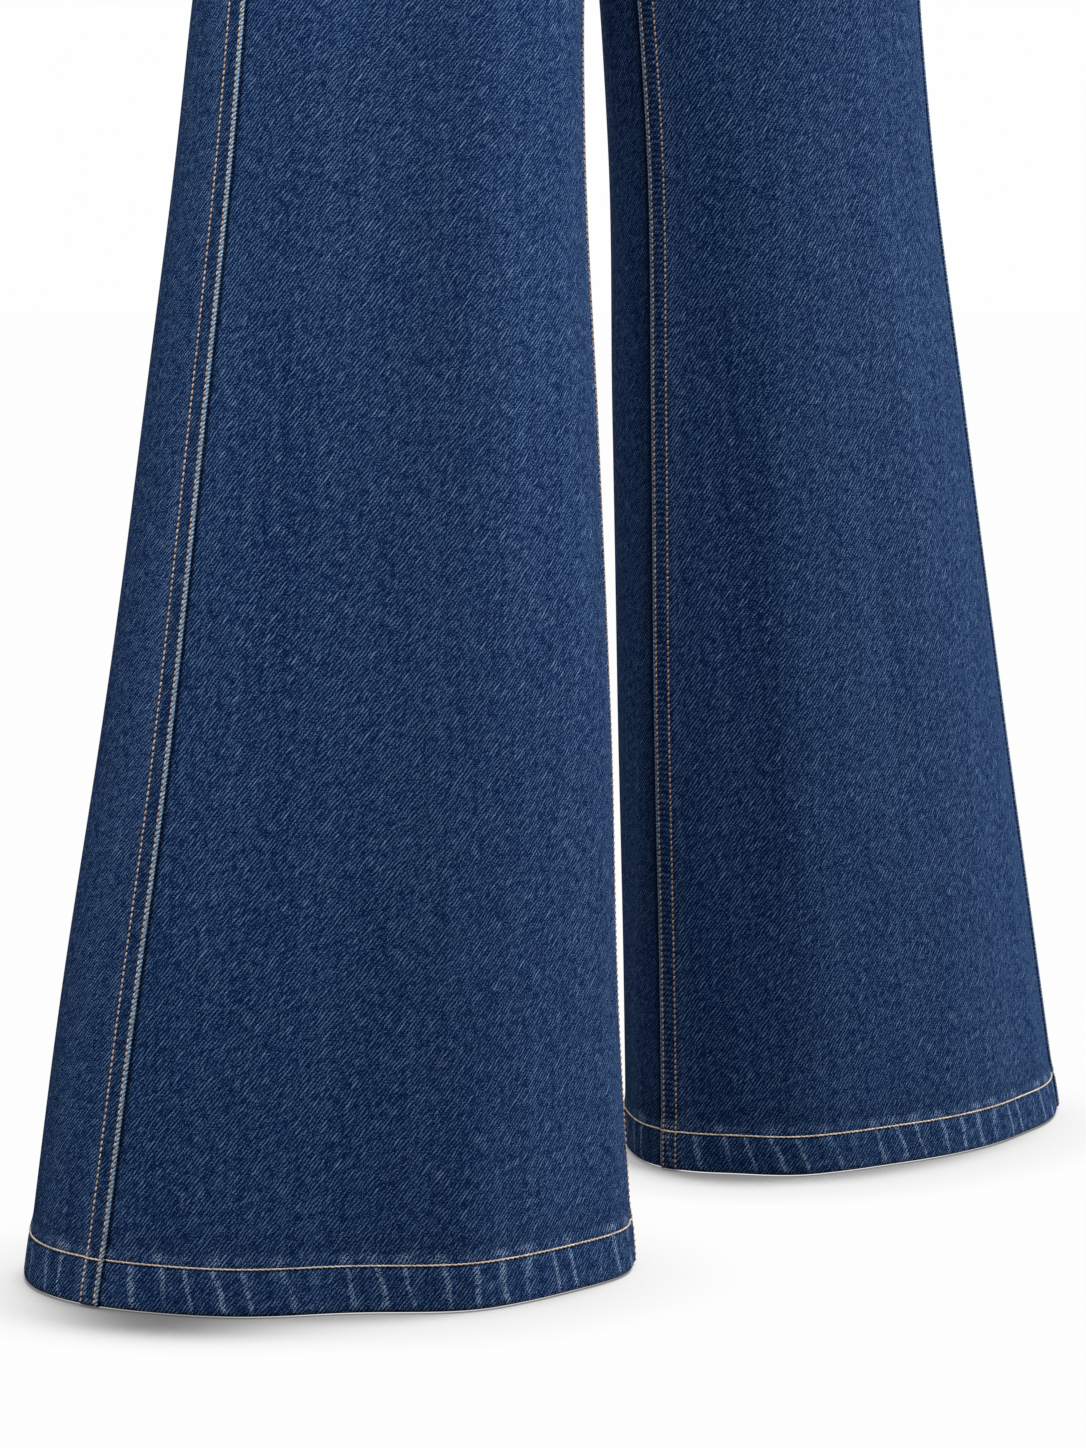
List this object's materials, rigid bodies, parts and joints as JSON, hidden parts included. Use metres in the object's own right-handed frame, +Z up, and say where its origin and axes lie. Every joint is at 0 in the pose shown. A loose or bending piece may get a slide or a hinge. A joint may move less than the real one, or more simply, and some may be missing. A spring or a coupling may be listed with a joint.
{
  "type": "wide leg jeans",
  "caption": "Full length wide leg jeans in dark indigo denim, filled out as if worn in mid step, with open waist and hems and tan stitching.",
  "frame": {"origin": "middle of the waist opening, halfway up the waistband, where the wearer's waist holds the jeans up", "axes": "+Z up the body, -Y ahead, out of the front of the jeans, +X to the wearer's left"},
  "size_m": [0.7425, 0.4183, 1.1],
  "materials": {
    "denim": "washed indigo twill",
    "zip_tape": "woven tape",
    "brass": "brushed, aged"
  },
  "bodies": {
    "root": {"front_right": "denim", "front_left": "denim", "back_right": "denim", "back_left": "denim", "yoke_right": "denim", "yoke_left": "denim", "pocket_side_right": "denim", "pocket_side_left": "denim", "back_pocket_right": "denim", "back_pocket_left": "denim", "waistband": "denim", "fly_flap": "denim", "belt_loop_front_left": "denim", "belt_loop_front_right": "denim", "belt_loop_side_left": "denim", "belt_loop_side_right": "denim", "belt_loop_back": "denim", "zip_tape": "zip_tape", "waist_button": "brass"}
  },
  "joints": []
}
